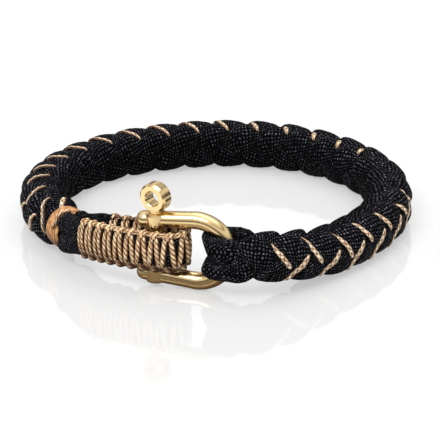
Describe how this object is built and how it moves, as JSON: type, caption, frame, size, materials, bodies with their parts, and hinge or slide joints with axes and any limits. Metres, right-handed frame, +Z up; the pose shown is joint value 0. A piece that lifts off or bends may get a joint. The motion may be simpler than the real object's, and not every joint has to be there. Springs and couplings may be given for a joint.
{
  "type": "paracord bracelet",
  "caption": "Bracelet of braided black cord, closed by a brass screw-pin shackle held in a gold-hitched cord eye.",
  "frame": {"origin": "floor under the middle of the bracelet's box, as it lies on its side", "axes": "+Z up, along the axis of the wrist; +X along the ring's longer width; -Y towards the shackle"},
  "size_m": [0.0887, 0.0825, 0.024],
  "materials": {
    "black_cord": "satin",
    "gold_cord": "satin",
    "gold_thread": "satin",
    "brass": "polished"
  },
  "bodies": {
    "bracelet": {"upper_cord": "black_cord", "lower_cord": "black_cord", "eye_cord": "black_cord", "eye_hitching": "gold_cord", "whipping": "gold_thread", "shackle": "brass"},
    "pin": {"shackle_pin": "brass"}
  },
  "joints": [
    {"name": "pin_draw", "type": "slide", "parent": "bracelet", "child": "pin", "axis": [0, 0, 1], "range_m": [0, 0.0128]}
  ]
}
